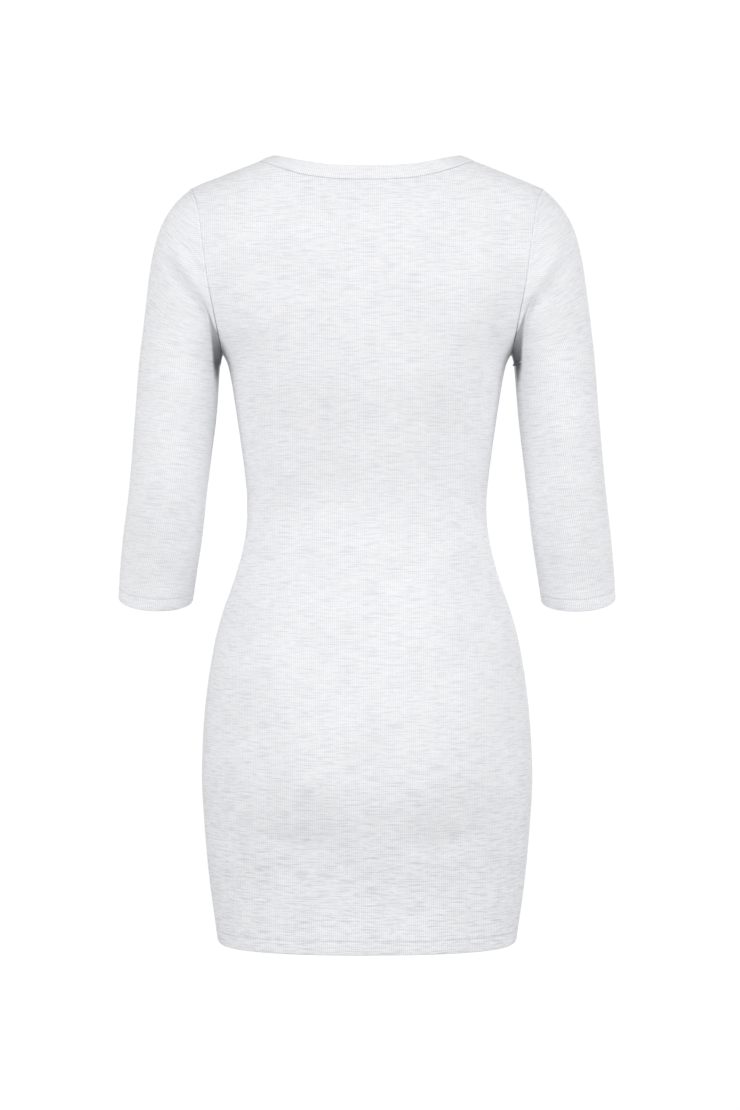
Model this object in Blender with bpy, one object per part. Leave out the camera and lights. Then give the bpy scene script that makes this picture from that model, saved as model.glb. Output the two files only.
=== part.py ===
"""A wrap dress in fine rib knit, standing hollow in the form it has when worn.

Short, fitted, with three-quarter sleeves: a back, an over front and an under front that cross in a V,
two sleeves and a neckband. Each piece is a closed wall of cloth, and neighbours keep a small gap at
their seams.

The origin is midway between the two neck points, on the line of the shoulders. +Z is up, the front of
the dress faces -Y and the wearer's left is +X. Lengths in the tables are millimetres, and drops are
measured down from the neck points. The meshes are made in metres.
"""

import math
from collections import namedtuple
from functools import lru_cache

import bmesh
import bpy
from mathutils import Vector

MM = 0.001

# Cloth
WALL = 1.4
SEAM_GAP = 0.3
HEM_FOLD = 14
BAND_WALL = 1.9
BAND_PROUD = 0.3
BAND_WIDTH = 15
BAND_GAP = 0.5
BAND_END_TURNS = (1, 0.55, 0.2)
UNDER_SINK = 4.0
UNDER_FADE = 40

# Heights, as drops
HEM_DROP = 829
WRAP_LANDS = 378
UNDER_ENDS = 436
UNDERARM_DROP = 208.3
SHOULDER_DROP = 34

# Neck and shoulders
NECK_SEAM_HALF = 113
NECK_SEAM_DROP = 5.6
NECK_CENTRE_DROP = 31
NECK_ROUND = 2.6
SHOULDER_SEAM_TURN = math.radians(105)
WRAP_V_DROP = 185

# Armholes
ARMHOLE_SCOOP = 7
ARMHOLE_GAP = 0.5

# Rows and columns of the panels
ARMHOLE_STEPS = 10
SHOULDER_STEPS = 6
UPPER_STEPS = 6
UNDER_STEPS = 2
SKIRT_STEPS = 15
BODY_COLUMNS = 17
UNDER_COLUMNS = 16
FOLD_STEP = 0.5

# The trunk's depth: where the centre back, the centre front and the widest line of each section lie.
Depths = namedtuple("Depths", "drop back front side square")
DEPTHS = (
    Depths(-20, 57, -34, 0, 1.8),
    Depths(30, 64, -44, 0, 1.8),
    Depths(70, 75, -58, 0, 1.9),
    Depths(120, 86, -78, -2, 2.1),
    Depths(170, 91, -98, -4, 2.2),
    Depths(208, 91, -108, -5, 2.2),
    Depths(250, 87, -111, -6, 2.2),
    Depths(310, 74, -104, -6, 2.2),
    Depths(369, 65, -97, -6, 2.2),
    Depths(420, 74, -101, -5, 2.2),
    Depths(480, 92, -105, -3, 2.2),
    Depths(560, 106, -104, 0, 2.2),
    Depths(640, 109, -102, 0, 2.2),
    Depths(700, 103, -100, -1, 2.2),
    Depths(760, 93, -97, -3, 2.2),
    Depths(840, 88, -94, -4, 2.35),
)

# Half of the width seen from the back. Between the shoulder and the underarm the armholes cut the cloth
# short, so there it is how wide each section would go on to be, and the front's differs.
Outline = namedtuple("Outline", "drop half front_more", defaults=(0,))
OUTLINE = (
    Outline(-20, 49),
    Outline(0, 99),
    Outline(20, 149),
    Outline(34, 184),
    Outline(50, 219, 8),
    Outline(71, 243, 9),
    Outline(104, 242, -21),
    Outline(140, 215, -33),
    Outline(170, 185, -19),
    Outline(200, 157.5, -3),
    Outline(208.3, 151.8),
    Outline(216, 147.6),
    Outline(229, 144.2),
    Outline(254, 140),
    Outline(305, 132.5),
    Outline(345, 127.5),
    Outline(369, 126),
    Outline(395, 127.7),
    Outline(420, 132.5),
    Outline(450, 141.5),
    Outline(483, 153),
    Outline(520, 162),
    Outline(580, 170.5),
    Outline(650, 174),
    Outline(700, 172),
    Outline(760, 167),
    Outline(830, 157.5),
)

# How far the armhole seam lies from the centre.
Armhole = namedtuple("Armhole", "drop across")
ARMHOLE = (
    Armhole(34, 184),
    Armhole(50, 177.5),
    Armhole(71, 173),
    Armhole(104, 168.5),
    Armhole(140, 163.3),
    Armhole(170, 157.8),
    Armhole(208.3, 151.8),
)

# The wrap's seam with the neckband, on the front: first by its distance from the centre, and below the V
# by how far it has turned from the centre front towards the side seam.
NeckSlope = namedtuple("NeckSlope", "drop across")
NECK_SLOPE = (
    NeckSlope(5.6, 113),
    NeckSlope(30, 100),
    NeckSlope(60, 84),
    NeckSlope(120, 48),
    NeckSlope(185, 0),
)
WrapEdge = namedtuple("WrapEdge", "drop turn")
WRAP_EDGE = (
    WrapEdge(185, 0),
    WrapEdge(215, 9),
    WrapEdge(250, 20),
    WrapEdge(285, 33.5),
    WrapEdge(320, 51),
    WrapEdge(350, 70),
    WrapEdge(378, 90),
)

# Soft fullness that the cut gives over the seat and the bust, one mound on each side of the centre.
Fullness = namedtuple("Fullness", "front across drop wide above below depth")
FULLNESS = (
    Fullness(False, 70, 650, 46, 95, 48, 9),
    Fullness(True, 76, 246, 40, 50, 42, 24),
)

# One sleeve, ring by ring from the armhole to the cuff: its outer and inner points seen from the back,
# how far back and front it reaches, and how far the ring tips forward, in degrees.
Ring = namedtuple("Ring", "outer_across outer_drop inner_across inner_drop back front tip")
RINGS = (
    Ring(184.5, 34, 152.3, 208.3, 60, -50, 0),
    Ring(197, 45.5, 152.5, 209.5, 59.5, -49.5, 0),
    Ring(209, 61, 152.8, 211, 58, -48.5, 0),
    Ring(219, 82, 153.1, 213, 55.5, -47, 0),
    Ring(226.5, 112, 153.5, 215, 52.5, -45.5, 0),
    Ring(231.5, 147, 154, 217.5, 50, -44.5, 0),
    Ring(235.6, 181, 154.6, 220, 48, -44, 0),
    Ring(239.6, 215, 155.3, 223.5, 47, -44, 0),
    Ring(243.3, 261, 158.7, 269, 46.5, -44, 0),
    Ring(247, 305, 164, 313, 44.5, -43.5, 1),
    Ring(251.3, 350, 169.4, 358, 39, -44.5, 5),
    Ring(257.3, 395, 174.6, 402, 28, -48, 11),
    Ring(262, 434, 180.7, 439, 15, -56.5, 16),
    Ring(265, 466, 186, 470, 4, -68, 18),
)
CUFF_FOLD = 12.9
HEAD_BLEND = 3

# How the seams are found: the height that the neck's seam stays under, how often its range is halved,
# how many strides the neckband's width is walked in, and a step along the cloth that is next to nothing.
NECK_TOP = -10
HALVINGS = 40
STRIDES = 4
HAIR = 0.02

KNIT = (0.86, 0.86, 0.88, 1)
KNIT_ROUGHNESS = 0.9


@lru_cache(maxsize=None)
def column(table, name):
    return tuple(getattr(row, name) for row in table)


def smooth(places, values, at):
    """The value at a place, on a smooth curve through the table's rows."""
    last = len(places) - 1
    at = min(max(at, places[0]), places[-1])
    low = max(i for i in range(last) if places[i] <= at)

    def slope(i):
        before, after = max(i - 1, 0), min(i + 1, last)
        return (values[after] - values[before]) / (places[after] - places[before])

    span = places[low + 1] - places[low]
    t = (at - places[low]) / span
    start, end = values[low], values[low + 1]
    curve = (2 * t - 3) * t * t
    return (
        (1 + curve) * start
        - curve * end
        + t * (1 - t) ** 2 * span * slope(low)
        - t * t * (1 - t) * span * slope(low + 1)
    )


def read(table, name, drop):
    return smooth(column(table, "drop"), column(table, name), drop)


def ease(t):
    t = min(max(t, 0), 1)
    return t * t * (3 - 2 * t)


def steps(start, end, count):
    return [start + (end - start) * i / count for i in range(count + 1)]


# The trunk ------------------------------------------------------------------------------------------


@lru_cache(maxsize=None)
def section(drop, front):
    """Half width, depth, side line and squareness of the back or front half of the section at a drop."""
    side = read(DEPTHS, "side", drop)
    square = read(DEPTHS, "square", drop)
    depth = side - read(DEPTHS, "front", drop) if front else read(DEPTHS, "back", drop) - side
    half = read(OUTLINE, "half", drop) + (read(OUTLINE, "front_more", drop) if front else 0)
    return half, depth, side, square


def trunk(angle, drop):
    """A point of the trunk: angle 0 is centre back, a right angle the left side, a half turn the front."""
    front = math.cos(angle) < 0
    half, depth, side, square = section(drop, front)
    out, along = math.sin(angle), abs(math.cos(angle))
    size = (abs(out) ** square + along**square) ** (1 / square)
    across = half * out / size
    away = depth * along / size
    for mound in FULLNESS:
        if mound.front == front:
            tall = mound.above if drop < mound.drop else mound.below
            fall = math.exp(-(((drop - mound.drop) / tall) ** 2) / 2)
            sides = (-mound.across, mound.across)
            pair = sum(math.exp(-(((across - x) / mound.wide) ** 2) / 2) for x in sides)
            away += mound.depth * fall * pair * ease(along / size * 2)
    return Vector((across, side - away if front else side + away, -drop))


def outward(angle, drop):
    """The direction out of the trunk at a point of it."""
    round_it = trunk(angle + HAIR, drop) - trunk(angle - HAIR, drop)
    up_it = trunk(angle, drop - 1) - trunk(angle, drop + 1)
    return up_it.cross(round_it).normalized()


def angle_of(across, drop, front):
    """The angle at which the trunk's section at this drop is so far from the centre."""
    half, _, _, square = section(drop, front)
    share = min(abs(across) / half, 1)
    angle = math.atan2(share, (1 - share**square) ** (1 / square))
    return math.copysign(math.pi - angle if front else angle, across)


def armhole_place(turn):
    """Where the armhole's seam lies: turn 0 is the underarm, a half turn the shoulder, by the back."""
    front = math.sin(turn) < 0
    drop = UNDERARM_DROP + (SHOULDER_DROP - UNDERARM_DROP) * (1 - math.cos(turn)) / 2
    scoop = ARMHOLE_SCOOP * math.sin(turn) ** 2 if front else 0
    return angle_of(read(ARMHOLE, "across", drop) - scoop, drop, front), drop


def back_neck_drop(across):
    share = abs(across) / NECK_SEAM_HALF
    return NECK_CENTRE_DROP - (NECK_CENTRE_DROP - NECK_SEAM_DROP) * share**NECK_ROUND


def neck_drop(angle):
    """Where the neckband's seam crosses this angle of the trunk, found by halving."""
    front = math.cos(angle) < 0
    high, low = NECK_TOP, WRAP_V_DROP
    for _ in range(HALVINGS):
        middle = (high + low) / 2
        across = abs(trunk(angle, middle).x)
        if front:
            above = across < read(NECK_SLOPE, "across", middle)
        else:
            above = middle < back_neck_drop(min(across, NECK_SEAM_HALF))
        high, low = (middle, low) if above else (high, middle)
    return (high + low) / 2


def wrap_angle(drop):
    """Where the over front's edge crosses this drop."""
    if drop < WRAP_V_DROP:
        return -angle_of(read(NECK_SLOPE, "across", drop), drop, True) + 2 * math.pi
    return math.pi - math.radians(read(WRAP_EDGE, "turn", drop))


NECK_POINT_DROP = neck_drop(SHOULDER_SEAM_TURN)


def shoulder_seam(drop):
    """The seam runs from the shoulder's end, on the ridge, to a place just in front of it at the neck."""
    share = (SHOULDER_DROP - drop) / (SHOULDER_DROP - NECK_POINT_DROP)
    return math.pi / 2 + (SHOULDER_SEAM_TURN - math.pi / 2) * share


def half_gap(angle, drop):
    """Half of the seam's gap, as an angle."""
    return SEAM_GAP / 2 / (trunk(angle + HAIR, drop) - trunk(angle - HAIR, drop)).length * 2 * HAIR


def side_angle(drop, front):
    """The left edge of the back, or of the front, at this drop."""
    turned = 1 if front else -1
    if drop >= UNDERARM_DROP:
        return math.pi / 2 + turned * half_gap(math.pi / 2, drop)
    if drop < SHOULDER_DROP:
        seam = shoulder_seam(drop)
        return seam + turned * half_gap(seam, drop)
    turn = math.acos(1 - 2 * (UNDERARM_DROP - drop) / (UNDERARM_DROP - SHOULDER_DROP))
    return armhole_place(-turn if front else turn)[0]


ARMHOLE_TURNS = steps(0, math.pi, ARMHOLE_STEPS)
ARMHOLE_DROPS = [armhole_place(turn)[1] for turn in ARMHOLE_TURNS]
SHOULDER_DROPS = steps(SHOULDER_DROP, NECK_POINT_DROP, SHOULDER_STEPS)
HEM_LINE = HEM_DROP - HEM_FOLD
SKIRT_DROPS = [HEM_DROP, HEM_LINE + FOLD_STEP, HEM_LINE - FOLD_STEP]
SKIRT_DROPS += steps(HEM_LINE, WRAP_LANDS, SKIRT_STEPS)[1:]
UPPER_DROPS = steps(WRAP_LANDS, UNDERARM_DROP, UPPER_STEPS)[1:]


def cloth(angle, drop, sink=0):
    """The outer and inner points of a panel's wall. A turned hem is two walls thick."""
    thick = 2 * WALL if drop > HEM_LINE else WALL
    point = trunk(angle, drop)
    out = outward(angle, drop)
    return point - out * sink, point - out * (sink + thick)


def mitre(own, other):
    """From a seam's outer edge to its inner one, where two walls meet at an angle."""
    between = (own + other * max(own.dot(other), 0)).normalized()
    return between * (WALL / own.dot(between))


def armhole_walls(turn):
    """The seam's edge on the trunk, and on the sleeve, each as (outer, inner)."""
    body, body_out = trunk(*armhole_place(turn)), outward(*armhole_place(turn))
    arm, sleeve_out = sleeve(0, turn), sleeve_outward(0, turn)
    return (body, body - mitre(body_out, sleeve_out)), (arm, arm - mitre(sleeve_out, body_out))


# Meshes ---------------------------------------------------------------------------------------------


def cloth_material(name):
    material = bpy.data.materials.new(name)
    material.use_nodes = True
    shader = material.node_tree.nodes["Principled BSDF"]
    shader.inputs["Base Color"].default_value = KNIT
    shader.inputs["Roughness"].default_value = KNIT_ROUGHNESS
    shader.inputs["Metallic"].default_value = 0
    return material


def sew(name, lattice, tube=False, mirrored=False):
    """One closed wall from rows of (outer, inner) points. A tube's rows close on themselves."""
    bm = bmesh.new()
    flip = -1 if mirrored else 1
    sides = [
        [
            [bm.verts.new((p[side].x * flip * MM, p[side].y * MM, p[side].z * MM)) for p in row]
            for row in lattice
        ]
        for side in (0, 1)
    ]
    rows, columns = len(lattice), len(lattice[0])
    across = range(columns if tube else columns - 1)
    for side in sides:
        for i in range(rows - 1):
            for j in across:
                k = (j + 1) % columns
                bm.faces.new((side[i][j], side[i][k], side[i + 1][k], side[i + 1][j]))
    outer, inner = sides
    for i in (0, rows - 1):
        for j in across:
            k = (j + 1) % columns
            bm.faces.new((outer[i][j], outer[i][k], inner[i][k], inner[i][j]))
    if not tube:
        for j in (0, columns - 1):
            for i in range(rows - 1):
                bm.faces.new((outer[i][j], outer[i + 1][j], inner[i + 1][j], inner[i][j]))
    bmesh.ops.recalc_face_normals(bm, faces=bm.faces)
    mesh = bpy.data.meshes.new(name)
    bm.to_mesh(mesh)
    bm.free()
    mesh.shade_smooth()
    mesh.set_sharp_from_angle(angle=math.radians(50))
    mesh.materials.append(cloth_material(name + "_knit"))
    piece = bpy.data.objects.new(name, mesh)
    bpy.context.scene.collection.objects.link(piece)
    return piece


def neck_rise(share):
    """How far the neck's seam has risen from the centre back, at a share of the way to the neck point."""
    angle = share * side_angle(NECK_POINT_DROP, False)
    return (NECK_CENTRE_DROP - neck_drop(angle)) / (NECK_CENTRE_DROP - NECK_POINT_DROP)


def make_back():
    lattice = []
    for drop in SKIRT_DROPS + UPPER_DROPS:
        edge = side_angle(drop, False)
        lattice.append([cloth(angle, drop) for angle in steps(-edge, edge, BODY_COLUMNS)])
    # Above the underarm the rows dip more and more towards the centre, and the last is the neck seam.
    yoke = ARMHOLE_DROPS[1:] + SHOULDER_DROPS[1:]
    centres = steps(UNDERARM_DROP, NECK_CENTRE_DROP, len(yoke))[1:]
    for edge_drop, centre_drop in zip(yoke, centres):
        edge = side_angle(edge_drop, False)
        widest = max(edge, math.pi / 2)
        lift = (centre_drop - edge_drop) / neck_rise(edge / widest)
        angles = steps(-edge, edge, BODY_COLUMNS)
        drops = [centre_drop - lift * neck_rise(abs(angle) / widest) for angle in angles]
        lattice.append([cloth(angle, drop) for angle, drop in zip(angles, drops)])
    for row, turn in zip(lattice[-len(yoke) - 1 :], ARMHOLE_TURNS):
        left = armhole_walls(turn)[0]
        row[-1] = tuple(Vector((point.x, point.y + ARMHOLE_GAP / 2, point.z)) for point in left)
        row[0] = tuple(Vector((-point.x, point.y + ARMHOLE_GAP / 2, point.z)) for point in left)
    return sew("back", lattice)


def wrap_edge_drops():
    """Down which the wrap's edge meets the rows that leave the armhole."""
    reach = (UNDERARM_DROP - NECK_POINT_DROP) / (UNDERARM_DROP - SHOULDER_DROP)
    return [NECK_POINT_DROP + (drop - SHOULDER_DROP) * reach for drop in ARMHOLE_DROPS]


def under_sink(angle, drop):
    """How far the under front lies beneath the over front. It comes up beyond the over front's band."""
    edge = -trunk(wrap_angle(drop), drop).x if drop < WRAP_LANDS else -2 * section(drop, True)[0]
    covered = trunk(angle, drop).x - edge
    return UNDER_SINK * ease((BAND_WIDTH + UNDER_FADE + covered) / UNDER_FADE)


def make_front(name, first_drops, columns, sink, mirrored):
    """A front from its own side seam across to the wrap's edge, or to the other side seam below it.

    It is laid out as the over front, the wearer's right one, and mirrored for the under front.
    """
    lattice = []
    for drop in first_drops:
        near = -side_angle(drop, True) + 2 * math.pi
        far = side_angle(drop, True) if drop >= WRAP_LANDS else wrap_angle(drop)
        lattice.append([cloth(angle, drop, sink(angle, drop)) for angle in steps(near, far, columns)])
    for near_drop, far_drop in list(zip(ARMHOLE_DROPS, wrap_edge_drops()))[1:]:
        near = -side_angle(near_drop, True) + 2 * math.pi
        far = wrap_angle(far_drop)
        row = zip(steps(near, far, columns), steps(near_drop, far_drop, columns))
        lattice.append([cloth(angle, drop, sink(angle, drop)) for angle, drop in row])
    # The last row lies along the shoulder seam.
    lattice[-1] = [
        cloth(2 * math.pi - shoulder_seam(drop) - half_gap(shoulder_seam(drop), drop), drop)
        for drop in steps(SHOULDER_DROP, NECK_POINT_DROP, columns)
    ]
    for row, turn in zip(lattice[-ARMHOLE_STEPS - 1 :], ARMHOLE_TURNS):
        left = armhole_walls(-turn)[0]
        row[0] = tuple(Vector((-point.x, point.y - ARMHOLE_GAP / 2, point.z)) for point in left)
    return sew(name, lattice, mirrored=mirrored)


# The neckband ---------------------------------------------------------------------------------------


def band_seam():
    """The seam's places from the left side, up the over front, round the neck and down the under front.

    Each is (angle, drop, under), where under says that it lies on the under front.
    """
    wrap = [(wrap_angle(drop), drop) for drop in [WRAP_LANDS] + UPPER_DROPS + wrap_edge_drops()[1:]]
    wrap[0] = (side_angle(WRAP_LANDS, True), WRAP_LANDS)
    neck_edge = side_angle(NECK_POINT_DROP, False)
    neck = [(angle, neck_drop(angle)) for angle in steps(-neck_edge, neck_edge, BODY_COLUMNS)][1:-1]
    over = [(angle, drop, False) for angle, drop in wrap]
    round_neck = [(angle, drop, False) for angle, drop in neck]
    under = [(2 * math.pi - angle, drop, True) for angle, drop in reversed(wrap)]
    return over + round_neck + under


def walk(angle, drop, direction, distance):
    """The place reached by going a distance over the trunk in a direction."""
    for _ in range(STRIDES):
        by_angle = (trunk(angle + HAIR, drop) - trunk(angle - HAIR, drop)) / (2 * HAIR)
        by_drop = (trunk(angle, drop + 1) - trunk(angle, drop - 1)) / 2
        a, b, c = by_angle.dot(by_angle), by_angle.dot(by_drop), by_drop.dot(by_drop)
        p, q = by_angle.dot(direction), by_drop.dot(direction)
        scale = distance / STRIDES / (a * c - b * b)
        angle += (p * c - q * b) * scale
        drop += (q * a - p * b) * scale
    return angle, drop


def make_neckband():
    seam = band_seam()
    lattice = []
    for i, (angle, drop, under) in enumerate(seam):
        before, after = seam[max(i - 1, 0)], seam[min(i + 1, len(seam) - 1)]
        along = (trunk(after[0], after[1]) - trunk(before[0], before[1])).normalized()
        out = outward(angle, drop)
        square_on = along.cross(out).normalized()
        # At each end the band is cut off along the side seam, so its width turns to lie along that.
        up = (trunk(angle, drop - 1) - trunk(angle, drop + 1)).normalized()
        from_end = min(i, len(seam) - 1 - i)
        turned = BAND_END_TURNS[from_end] if from_end < len(BAND_END_TURNS) else 0
        direction = square_on.lerp(up, turned).normalized()
        reach = 1 / direction.dot(square_on)
        row = []
        for width in (BAND_GAP, BAND_WIDTH / 2, BAND_WIDTH):
            place = walk(angle, drop, direction, width * reach)
            point, normal = trunk(*place), outward(*place)
            mirrored = 2 * math.pi - place[0]
            rise = BAND_PROUD - (under_sink(mirrored, place[1]) if under else 0)
            row.append((point + normal * rise, point + normal * (rise - BAND_WALL)))
        lattice.append(row)
    return sew("neckband", lattice)


# Sleeves --------------------------------------------------------------------------------------------


def ring_point(at, turn):
    """A point of the sleeve's rings, before the armhole shapes them."""
    places = tuple(range(len(RINGS)))
    values = Ring(*(smooth(places, column(RINGS, name), at) for name in Ring._fields))
    outer = Vector((values.outer_across, 0, -values.outer_drop))
    inner = Vector((values.inner_across, 0, -values.inner_drop))
    tip = math.radians(values.tip)
    depth = (values.back - values.front) / 2 * math.sin(turn)
    middle = (outer + inner) / 2 + Vector((0, (values.back + values.front) / 2, 0))
    return middle - (outer - inner) / 2 * math.cos(turn) + Vector((0, math.cos(tip), -math.sin(tip))) * depth


def sleeve(at, turn):
    point = ring_point(at, turn)
    if at < HEAD_BLEND:
        seam = trunk(*armhole_place(turn)) + Vector((ARMHOLE_GAP, 0, 0))
        point += (seam - ring_point(0, turn)) * (1 - at / HEAD_BLEND) ** 2
    return point


LAST_RING = len(RINGS) - 1
CUFF_RING = RINGS[-1].outer_drop - RINGS[-2].outer_drop
CUFF_LINE = LAST_RING - CUFF_FOLD / CUFF_RING


def sleeve_outward(at, turn):
    along = sleeve(min(at + HAIR, LAST_RING), turn) - sleeve(max(at - HAIR, 0), turn)
    round_it = sleeve(at, turn + HAIR) - sleeve(at, turn - HAIR)
    return round_it.cross(along).normalized()


def sleeve_wall(at, turn):
    if at == 0:
        return armhole_walls(turn)[1]
    point = sleeve(at, turn)
    return point, point - sleeve_outward(at, turn) * (2 * WALL if at > CUFF_LINE else WALL)


def make_sleeve(name, mirrored):
    turns = [math.pi * i / ARMHOLE_STEPS for i in range(2 * ARMHOLE_STEPS)]
    rings = list(range(LAST_RING))
    rings += [CUFF_LINE - FOLD_STEP / CUFF_RING, CUFF_LINE + FOLD_STEP / CUFF_RING, LAST_RING]
    lattice = [[sleeve_wall(at, turn) for turn in turns] for at in rings]
    return sew(name, lattice, tube=True, mirrored=mirrored)


def main():
    for thing in list(bpy.data.objects):
        bpy.data.objects.remove(thing, do_unlink=True)
    make_back()
    make_front("front_over", SKIRT_DROPS + UPPER_DROPS, BODY_COLUMNS, lambda angle, drop: 0, False)
    under_drops = steps(UNDER_ENDS, WRAP_LANDS, UNDER_STEPS) + UPPER_DROPS
    make_front("front_under", under_drops, UNDER_COLUMNS, under_sink, True)
    make_neckband()
    make_sleeve("sleeve_left", False)
    make_sleeve("sleeve_right", True)


main()
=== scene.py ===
"""The looks of a wrap dress in fine rib knit, standing hollow in the form that it has when worn.

Each piece is a thin shell of knit on the form of its solid: rolled seams, turned hems, a folded neckband,
creases, stitches, and a melange rib pattern that follows the cloth. Tables and distances are in
millimetres, drops are measured down from the neck points, and meshes are made in metres.
"""

import math
from collections import namedtuple

import bmesh
import bpy
import numpy as np
from mathutils import Matrix, Vector


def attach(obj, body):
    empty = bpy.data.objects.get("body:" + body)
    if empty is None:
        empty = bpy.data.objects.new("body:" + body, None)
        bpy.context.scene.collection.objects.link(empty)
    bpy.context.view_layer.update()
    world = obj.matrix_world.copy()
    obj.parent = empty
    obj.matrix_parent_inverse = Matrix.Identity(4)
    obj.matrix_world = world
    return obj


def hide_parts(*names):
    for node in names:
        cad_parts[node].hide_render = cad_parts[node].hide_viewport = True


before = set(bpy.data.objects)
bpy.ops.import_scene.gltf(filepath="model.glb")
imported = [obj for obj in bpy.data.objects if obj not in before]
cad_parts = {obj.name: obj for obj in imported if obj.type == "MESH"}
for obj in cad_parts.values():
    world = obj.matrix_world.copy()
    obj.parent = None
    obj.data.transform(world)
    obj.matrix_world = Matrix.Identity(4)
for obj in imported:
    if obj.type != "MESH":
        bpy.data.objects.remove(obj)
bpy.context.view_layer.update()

MM = 0.001


def table(columns, *rows):
    """Rows whose values go by their columns' names."""
    row = namedtuple("Row", columns)
    return [row(*values) for values in rows]


# Cloth, hems and cuffs. A turned hem's fold has so many steps round it, and so many rows up inside.
PLY = 1.1
HEM_DEPTH = 14
HEM_WALL = 2.8
HEM_LIFT = 3.4
HEM_LIFT_REACH = 0.3
HEM_LIFT_START = 770
CUFF_DEPTH = 12.9
FOLD_STEPS = 8
FOLD_ROWS = 4
SEAM_GAP = 0.05

# The neckband: a strip folded double, which stands a little proud and is softly puffed
BAND_WALL = 1.9
BAND_PLY = 0.75
BAND_PROUD = 0.3
BAND_WIDTH = 15
BAND_START = 0.05
BAND_PUFF = 0.3
BAND_STATIONS = (BAND_START, 0.9, 1.4, 2.1, 3, 4.5, 6.5, 8.5, 10.5, 12, 13.2)
WRAP_COLUMNS = 150
NECK_COLUMNS = 72

# How far the under front lies beneath the over front, and over what distances it comes up beside it
UNDER_SINK = 2.4
UNDER_COVER = 26
UNDER_FADE = 40
SIDE_FADE = 12
SIDE_FADE_REACH = 90

# Heights, as drops
HEM_DROP = 829
HEM_LINE = HEM_DROP - HEM_DEPTH
WRAP_LANDS = 378
UNDER_ENDS = 436
UNDERARM_DROP = 208.3
SHOULDER_DROP = 34

# Neck, shoulders and armholes
NECK_SEAM_HALF = 113
NECK_SEAM_DROP = 5.6
NECK_CENTRE_DROP = 31
NECK_ROUND = 2.6
NECK_TOP = -10
SHOULDER_SEAM_TURN = math.radians(105)
WRAP_V_DROP = 185
ARMHOLE_SCOOP = 7
ARMHOLE_GAP = 0.04
SHOULDER_SHARE = 0.44

# Where the finest stations of a panel lie, as distances from a seam, and how far apart the others are
FINE = (0, 0.5, 1, 1.6, 2.4, 3.5, 5, 7.5)
COARSE = 4.4
BACK_YOKE_COARSE = 3
FRONT_YOKE_COARSE = 3.4
HALF_PANEL = 200

# Small steps for slopes, as an angle or a share and as a drop, and how often a search halves or strides
HAIR = 0.02
DROP_STEP = 1
HALVINGS = 40
STRIDES = 4

# The trunk's depth: where the centre back, the centre front and the widest line of each section lie,
# and how square the section is.
DEPTHS = table(
    "drop back front side square",
    (-20, 57, -34, 0, 1.8),
    (30, 64, -44, 0, 1.8),
    (70, 75, -58, 0, 1.9),
    (120, 86, -78, -2, 2.1),
    (170, 91, -98, -4, 2.2),
    (208, 91, -108, -5, 2.2),
    (250, 87, -111, -6, 2.2),
    (310, 74, -104, -6, 2.2),
    (369, 65, -97, -6, 2.2),
    (420, 74, -101, -5, 2.2),
    (480, 92, -105, -3, 2.2),
    (560, 106, -104, 0, 2.2),
    (640, 109, -102, 0, 2.2),
    (700, 103, -100, -1, 2.2),
    (760, 93, -97, -3, 2.2),
    (840, 88, -94, -4, 2.35),
)

# Half of the width seen from the back, and how much more the front's would be above the underarm.
OUTLINE = table(
    "drop half front_more",
    (-20, 49, 0),
    (0, 99, 0),
    (20, 149, 0),
    (34, 184, 0),
    (50, 219, 8),
    (71, 243, 9),
    (104, 242, -21),
    (140, 215, -33),
    (170, 185, -19),
    (200, 157.5, -3),
    (208.3, 151.8, 0),
    (216, 147.6, 0),
    (229, 144.2, 0),
    (254, 140, 0),
    (305, 132.5, 0),
    (345, 127.5, 0),
    (369, 126, 0),
    (395, 127.7, 0),
    (420, 132.5, 0),
    (450, 141.5, 0),
    (483, 153, 0),
    (520, 162, 0),
    (580, 170.5, 0),
    (650, 174, 0),
    (700, 172, 0),
    (760, 167, 0),
    (830, 157.5, 0),
)

# How far the armhole seam lies from the centre.
ARMHOLE = table(
    "drop across",
    (34, 184),
    (50, 177.5),
    (71, 173),
    (104, 168.5),
    (140, 163.3),
    (170, 157.8),
    (208.3, 151.8),
)

# The wrap's seam with the neckband: by its distance from the centre, and below the V by its turn from
# the centre front towards the side seam, in degrees.
NECK_SLOPE = table(
    "drop across",
    (5.6, 113),
    (30, 100),
    (60, 84),
    (120, 48),
    (185, 0),
)
WRAP_EDGE = table(
    "drop turn",
    (185, 0),
    (215, 9),
    (250, 20),
    (285, 33.5),
    (320, 51),
    (350, 70),
    (378, 90),
)

# How far the neckband's width has turned to lie along the side seam, by the drop up from its end.
BAND_TURNS = table("drop share", (0, 1), (28.3, 0.55), (56.6, 0.2), (85, 0))

# Soft fullness over the seat and the bust, one mound on each side of the centre.
FULLNESS = table(
    "front across drop wide above below depth",
    (False, 70, 646, 46, 95, 39, 11),
    (True, 76, 246, 40, 50, 42, 24),
)

# One sleeve, ring by ring from the armhole to the cuff.
Ring = namedtuple("Ring", "outer_across outer_drop inner_across inner_drop back front tip")
RINGS = (
    Ring(184.5, 34, 152.3, 208.3, 60, -50, 0),
    Ring(197, 45.5, 152.5, 209.5, 59.5, -49.5, 0),
    Ring(209, 61, 152.8, 211, 58, -48.5, 0),
    Ring(219, 82, 153.1, 213, 55.5, -47, 0),
    Ring(226.5, 112, 153.5, 215, 52.5, -45.5, 0),
    Ring(231.5, 147, 154, 217.5, 50, -44.5, 0),
    Ring(235.6, 181, 154.6, 220, 48, -44, 0),
    Ring(239.6, 215, 155.3, 223.5, 47, -44, 0),
    Ring(243.3, 261, 158.7, 269, 46.5, -44, 0),
    Ring(247, 305, 164, 313, 44.5, -43.5, 1),
    Ring(251.3, 350, 169.4, 358, 39, -44.5, 5),
    Ring(257.3, 395, 174.6, 402, 28, -48, 11),
    Ring(262, 434, 180.7, 439, 15, -56.5, 16),
    Ring(265, 466, 186, 470, 4, -68, 18),
)
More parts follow.
